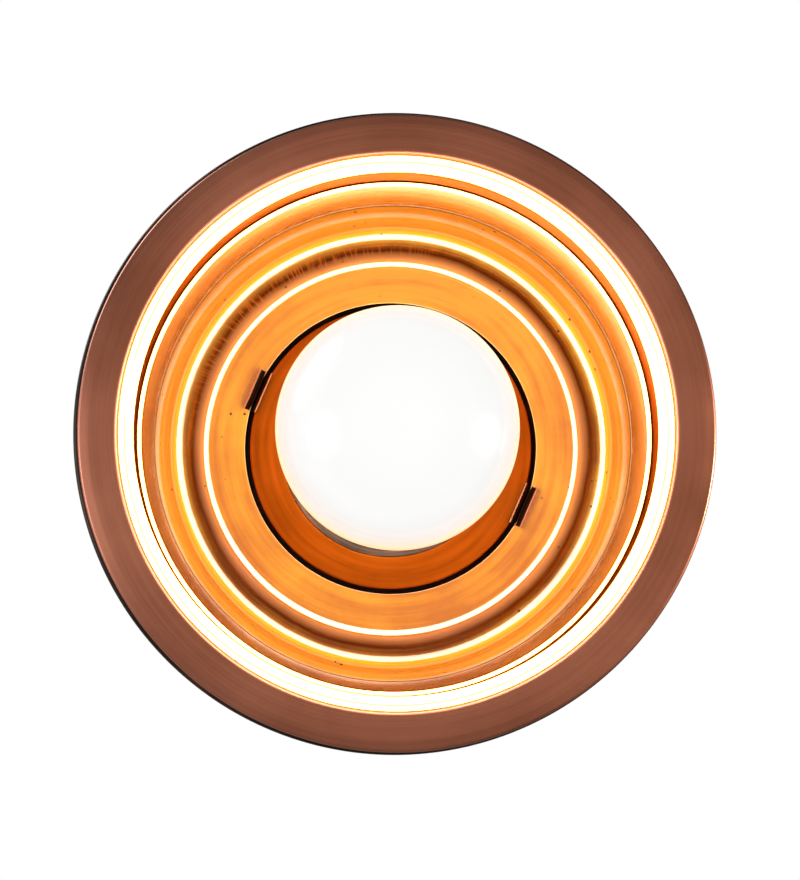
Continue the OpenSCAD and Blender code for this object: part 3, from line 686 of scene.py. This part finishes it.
def folded_clip(name, node, body, turn):
    """The strip's middle line is folded from corners, and its width narrows for the waist."""
    half = CLIP_SHEET / 2
    front = PLATE_H - CLIP_RISE
    outer_shoulder = FLOOR_H - CLIP_GAP - half
    inner_shoulder = PLATE_H - CLIP_GAP - half
    leg = CLIP_W / 2 - half
    waist = WAIST_IN + half
    back = FLOOR_H + CLIP_BACK + half
    line = rounded([
        (CLIP_R + leg, front), (CLIP_R + leg, outer_shoulder, 0.7), (CLIP_R + waist, outer_shoulder, 0.5),
        (CLIP_R + waist, back, 0.5), (CLIP_R - waist, back, 0.5), (CLIP_R - waist, inner_shoulder, 0.5),
        (CLIP_R - leg, inner_shoulder, 0.7), (CLIP_R - leg, front),
    ])
    shape = bmesh.new()
    rows = []
    for point in line:
        narrow = abs(point.x - CLIP_R) < waist + 0.35 or point.y > outer_shoulder + 0.2
        length = WAIST_L if narrow else CLIP_L
        rows.append([
            shape.verts.new((point.x * MM, (i / (CLIP_COLUMNS - 1) - 0.5) * length * MM, MOUTH_Z + point.y * MM))
            for i in range(CLIP_COLUMNS)
        ])
    for low, high in zip(rows, rows[1:]):
        for i in range(CLIP_COLUMNS - 1):
            shape.faces.new((low[i], low[i + 1], high[i + 1], high[i]))
    mesh = bpy.data.meshes.new(name)
    bmesh.ops.recalc_face_normals(shape, faces=shape.faces)
    shape.transform(Matrix.Rotation(math.radians(turn), 4, "Z"))
    shape.to_mesh(mesh)
    shape.free()
    worked = bpy.data.objects.new(name + "_work", mesh)
    bpy.context.scene.collection.objects.link(worked)
    mesh.materials.append(FOLDED)
    thick = worked.modifiers.new("thickness", "SOLIDIFY")
    thick.thickness, thick.offset = CLIP_SHEET * MM, 0.0
    edge = worked.modifiers.new("edges", "BEVEL")
    edge.width, edge.segments, edge.limit_method = CLIP_EDGE * MM, 2, "ANGLE"
    made = plain_copy(worked, name)
    outward(made.data)
    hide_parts(node)
    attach(made, body)


# ---------------------------------------------------------------------------------------------------------------------
# Bulb, lampholder and hanging thread
# ---------------------------------------------------------------------------------------------------------------------

GLOBE_R, GLOBE_DROP, GLOBE_END = 47.5, 14.0, 63.0
GLASS = 1.0
NECK_R = 15.5
SPIGOT_IN = 1.55  # the collar's spigot stands this far inside the cap's radius
THREAD_R, THREAD_BORE_R, THREAD_END_R, THREAD_RELIEF = 5.0, 3.9, 4.5, 0.6
COLLAR_H = GLOBE_R * math.sin(math.radians(GLOBE_END)) - GLOBE_DROP + 4
TIP_H = (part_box("bulb_tip_contact")[1].z - MOUTH_Z) / MM
CAP_H, CAP_TOP_H = TIP_H - 25.6, TIP_H - 3
CAP_R, CAP_PITCH, CAP_WALL = 13.05, 3.63, 0.5
HOLDER_R, HOLDER_WALL = 19.5, 1.6
HOLDER_MOUTH_H = CAP_H + 0.6
HOLDER_CAP_H = (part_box("holder_cap")[0].z - MOUTH_Z) / MM
NUT_TOP_H = -MOUTH_Z / MM  # the free thread's foot is the frame's origin
NIPPLE_TOP_H = NUT_TOP_H + 12.0


def closed(line):
    return [*line, line[0]]


def bulb_globe():
    """A thin glass ball with a neck that runs into the collar."""
    def skin(inset):
        sphere = [Vector(p) for p in arc((0, -GLOBE_DROP), GLOBE_R - inset, -90, GLOBE_END - 4, 64)]
        neck = rounded([
            sphere[-1], (NECK_R + 4.2 - inset, COLLAR_H - 3.0, 10), (NECK_R + 1.1 - inset, COLLAR_H + 1.4, 8),
            (NECK_R + 0.4 - inset, COLLAR_H + 5),
        ])
        return sphere + neck[1:]

    outline = closed([*skin(0), *reversed(skin(GLASS))])
    globe = spun("opal_globe", [outline], OPAL, "bulb", "bulb_globe")
    globe.visible_shadow = globe.visible_glossy = globe.visible_diffuse = False  # bulb_light stands in for its glow


def bulb_collar():
    """A moulded cup between the glass and the metal cap."""
    spigot = CAP_R - SPIGOT_IN
    outline = rounded([
        (spigot, CAP_H + 3), (spigot, CAP_H - 0.4), (CAP_R + 0.4, CAP_H - 0.4, 0.3), (NECK_R + 0.6, COLLAR_H + 12, 4),
        (NECK_R + 1.9, COLLAR_H + 7, 1.5), (NECK_R + 1.6, COLLAR_H + 5.3, 0.4), (NECK_R + 0.7, COLLAR_H + 5.3),
        (12.6, COLLAR_H + 6.4), (12.6, COLLAR_H + 10), (spigot - 0.9, CAP_H - 1), (spigot - 0.9, CAP_H + 3),
        (spigot, CAP_H + 3),
    ])
    spun("white_collar", [outline], WHITE_PLASTIC, "bulb", "bulb_collar", segments=128)


def bulb_cap():
    """The cap's round thread climbs 3.63 mm a turn."""
    foot, head = CAP_H + 1.0, CAP_TOP_H - 2.2
    steps = 96
    wall = [(CAP_R, foot + (head - foot) * i / steps) for i in range(steps + 1)]
    outline = closed([
        (CAP_R, CAP_H - 0.2), *wall, (CAP_R - 2.4, CAP_TOP_H - 0.5), (CAP_R - 4.0, CAP_TOP_H),
        (CAP_R - 4.0, CAP_TOP_H - CAP_WALL), (CAP_R - 2.7, CAP_TOP_H - 1.1), (CAP_R - 1.5, head - 0.3),
        (CAP_R - 1.5, CAP_H + 1.4), (CAP_R - CAP_WALL, CAP_H - 0.2),
    ])
    thread = (CAP_PITCH, 0.95, 1.0, foot, head)
    spun("screw_cap", [outline], NICKEL, "bulb", "bulb_cap", thread=thread, segments=96)


def holder_body():
    """A moulded sleeve with a bead at its mouth and shallow grip rings round its waist."""
    inner, mouth_r, bead_r = HOLDER_R - HOLDER_WALL, 14.3, HOLDER_R + 0.7
    grips = []
    for i in range(6):
        foot = HOLDER_MOUTH_H + 12 + 3.4 * i
        grips += [(HOLDER_R, foot, 0.3), (HOLDER_R - 0.5, foot + 0.5, 0.3), (HOLDER_R - 0.5, foot + 1.2, 0.3),
                  (HOLDER_R, foot + 1.7, 0.3)]
    outline = rounded([
        (mouth_r, HOLDER_MOUTH_H), (bead_r, HOLDER_MOUTH_H, 0.9), (bead_r, HOLDER_MOUTH_H + 3, 0.8),
        (HOLDER_R, HOLDER_MOUTH_H + 3.6, 0.4), *grips, (HOLDER_R, HOLDER_CAP_H, 0.2), (inner, HOLDER_CAP_H),
        (inner, HOLDER_MOUTH_H + 2), (mouth_r, HOLDER_MOUTH_H + 2), (mouth_r, HOLDER_MOUTH_H),
    ])
    spun("holder_sleeve", [outline], PHENOLIC, "shade", "holder_body", segments=128)


def threaded_nipple():
    """A hollow steel rod with a 1 mm pitch thread all along, relieved where the top nut ends."""
    foot = HOLDER_CAP_H + 14
    relief_foot = NUT_TOP_H - THREAD_RELIEF

    def wall(low, high):
        steps = max(8, round((high - low) * 8))
        return [(THREAD_R, low + (high - low) * i / steps) for i in range(steps + 1)]

    outline = closed([
        (THREAD_BORE_R, foot), (THREAD_END_R, foot), *wall(foot + 0.5, relief_foot), (4.6, relief_foot + 0.05),
        (4.6, NUT_TOP_H - 0.05), *wall(NUT_TOP_H, NIPPLE_TOP_H - 0.5), (THREAD_END_R, NIPPLE_TOP_H),
        (THREAD_BORE_R, NIPPLE_TOP_H),
    ])
    thread = (1.0, 0.55, 0.8, foot, NIPPLE_TOP_H)
    spun("hollow_thread", [outline], ZINC, "shade", "threaded_nipple", thread=thread, segments=72)


CAD_FINISHES = {
    ZINC: ("top_nut", "top_washer", "inner_washer", "inner_nut", "holder_grub_screw", "terminal_screws"),
    BRASS: ("earth_tag", "holder_thread_shell", "terminal_posts"),
    BRONZE: ("centre_contact", "side_contact"),
    NICKEL: ("bulb_tip_contact",),
    PHENOLIC: ("inlet_bush", "holder_cap"),
    STEATITE: ("holder_insert",),
    WHITE_PLASTIC: ("bulb_led_board",),
    BLACK_GLASS: ("bulb_cap_insulator", "bulb_driver_parts"),
    SOLDER_MASK: ("bulb_driver_board",),
    PHOSPHOR: ("bulb_led_chips",),
}


def finish_cad_nodes():
    for finish, names in CAD_FINISHES.items():
        for name in names:
            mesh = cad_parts[name].data
            mesh.materials.clear()
            mesh.materials.append(finish)


# ---------------------------------------------------------------------------------------------------------------------
# Studio: pale floor, soft light, the lamp's own light, and a camera below the lamp
# ---------------------------------------------------------------------------------------------------------------------

FLOOR_DROP, FLOOR_HALF = 1.3, 6.0  # metres: the floor's distance below the lip, and half its side
BULB_POWER = 1.2


def pale_floor():
    made, tree, shader = material("pale_floor")
    feed(tree, shader, {"Base Color": srgb("#e6e3de"), "Roughness": 0.8})
    mesh = bpy.data.meshes.new("floor")
    corners = [(x * FLOOR_HALF, y * FLOOR_HALF) for x, y in ((-1, -1), (1, -1), (1, 1), (-1, 1))]
    mesh.from_pydata([(x, y, MOUTH_Z - FLOOR_DROP) for x, y in corners], [], [(0, 1, 2, 3)])
    mesh.materials.append(made)
    floor = bpy.data.objects.new("floor", mesh)
    bpy.context.scene.collection.objects.link(floor)


def soft_world():
    """White behind the lamp, and a dimmer soft light on it, a little darker towards +X, as in a tented studio."""
    world = bpy.data.worlds.new("studio")
    bpy.context.scene.world = world
    world.use_nodes = True
    tree = world.node_tree
    tree.nodes.clear()
    path = add(tree, "ShaderNodeLightPath")
    seen = add(tree, "ShaderNodeBackground", {"Color": grey(1.0)})
    heading = add(tree, "ShaderNodeTexCoord").outputs["Generated"]
    tilt = add(tree, "ShaderNodeVectorMath", {0: heading, 1: (-0.34, 0.07, 0)}, operation="DOT_PRODUCT")
    level = add(tree, "ShaderNodeMath", {0: tilt.outputs["Value"], 1: 0.26}, operation="ADD")
    lit = add(tree, "ShaderNodeBackground", {"Color": srgb("#fff4ea"), "Strength": level})
    both = add(tree, "ShaderNodeMixShader", {0: path.outputs["Is Camera Ray"], 1: lit, 2: seen})
    add(tree, "ShaderNodeOutputWorld", {0: both})


def area_light(name, place, target, size, power, colour):
    light = bpy.data.lights.new(name, "AREA")
    light.shape, light.size, light.energy, light.color = "DISK", size, power, srgb(colour)[:3]
    holder = bpy.data.objects.new(name, light)
    holder.location = place
    holder.rotation_euler = (Vector(target) - Vector(place)).to_track_quat("-Z", "Y").to_euler()
    holder.visible_camera = False
    bpy.context.scene.collection.objects.link(holder)


def bulb_light():
    """The glow of the lit globe: a ball of warm light as wide as the glass, which moves with the bulb."""
    light = bpy.data.lights.new("bulb_light", "POINT")
    light.shadow_soft_size = (GLOBE_R - 0.3) * MM
    light.energy = BULB_POWER
    light.color = srgb("#fff1dc")[:3]
    holder = bpy.data.objects.new("bulb_light", light)
    holder.location = (0, 0, MOUTH_Z - GLOBE_DROP * MM)
    bpy.context.scene.collection.objects.link(holder)
    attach(holder, "bulb")


def camera():
    """Almost straight below the lamp, a little to one side, with -Y up in the picture."""
    lens = bpy.data.cameras.new("camera")
    lens.lens, lens.sensor_width = 44.25, 36.0
    lens.shift_x, lens.shift_y = 0.055, 0.086
    lens.clip_start, lens.clip_end = 0.01, 50.0
    holder = bpy.data.objects.new("camera", lens)
    mouth = Vector((0, 0, MOUTH_Z))
    place = Vector((-12.95, 38.17, -436.7)) * MM + mouth
    target = Vector((-17.86, 33.76, 0)) * MM + mouth
    forward = (target - place).normalized()
    right = forward.cross(Vector((0, -1, 0))).normalized()
    up = right.cross(forward)
    turn = Matrix((right, up, -forward)).transposed()
    holder.matrix_world = Matrix.Translation(place) @ turn.to_4x4()
    bpy.context.scene.collection.objects.link(holder)
    bpy.context.scene.camera = holder


bpy.context.scene.view_settings.view_transform = "Standard"
camera()
pale_floor()
soft_world()
outer_shade()
rim_ring()
reflector_wall()
reflector_dish()
gallery_plate()
folded_clip("clip_right_strip", "plate_clip_right", "clip_right", CLIP_ANGLE)
folded_clip("clip_left_strip", "plate_clip_left", "clip_left", CLIP_ANGLE + 180)
bulb_globe()
bulb_collar()
bulb_cap()
holder_body()
threaded_nipple()
finish_cad_nodes()
bulb_light()
area_light("key", (1.4, 0.1, MOUTH_Z - 0.05), (0, 0, MOUTH_Z), 0.3, 28, "#ffe9d2")
area_light("fill", (-0.55, 0.05, -0.33), (-0.1, 0, MOUTH_Z), 0.3, 1.1, "#ffffff")
area_light("back", (-1.2, -0.9, 0.5), (0, 0, -0.06), 1.2, 14, "#ffffff")
